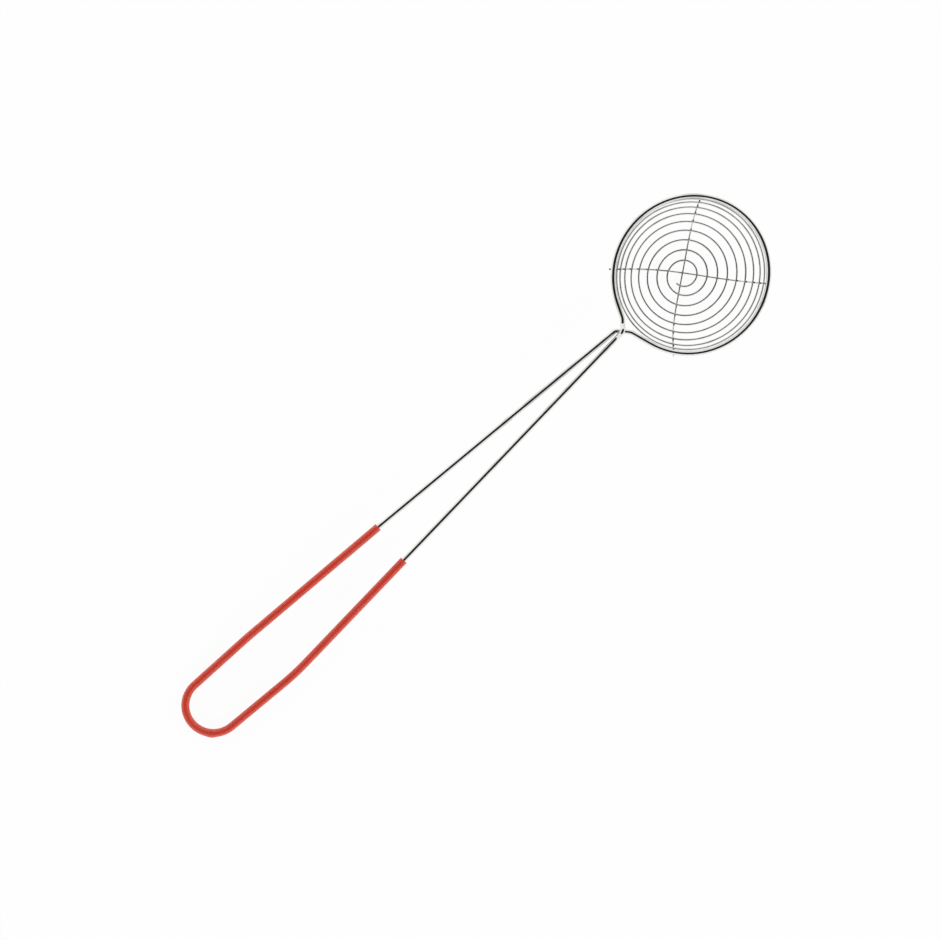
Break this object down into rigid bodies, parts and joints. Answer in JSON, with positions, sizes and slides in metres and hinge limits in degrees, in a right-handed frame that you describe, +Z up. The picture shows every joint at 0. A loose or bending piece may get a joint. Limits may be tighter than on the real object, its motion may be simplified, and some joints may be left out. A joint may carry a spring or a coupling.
{
  "type": "spider skimmer",
  "caption": "Spider skimmer: a shallow bowl of spiral wire on two cross wires in a round hoop, on a two-legged wire handle with a plastic sleeve.",
  "frame": {"origin": "bottom centre of the bounding box, on the ground under the middle of the skimmer as it lies on its bowl and on the end bend of its handle", "axes": "+X from the end bend of the handle to the front of the hoop, +Y to the left, +Z up out of the open side of the bowl"},
  "size_m": [0.4462, 0.0944, 0.0289],
  "materials": {
    "frame_wire": "bright plated steel wire",
    "grip_sleeve": "soft satin plastic tube",
    "spiral_wire": "bright plated steel wire",
    "arm_wire": "plain drawn steel wire"
  },
  "bodies": {
    "root": {"frame_wire": "frame_wire", "grip_sleeve": "grip_sleeve", "spiral_wire": "spiral_wire", "upper_arm_wire": "arm_wire", "lower_arm_wire": "arm_wire"}
  },
  "joints": []
}
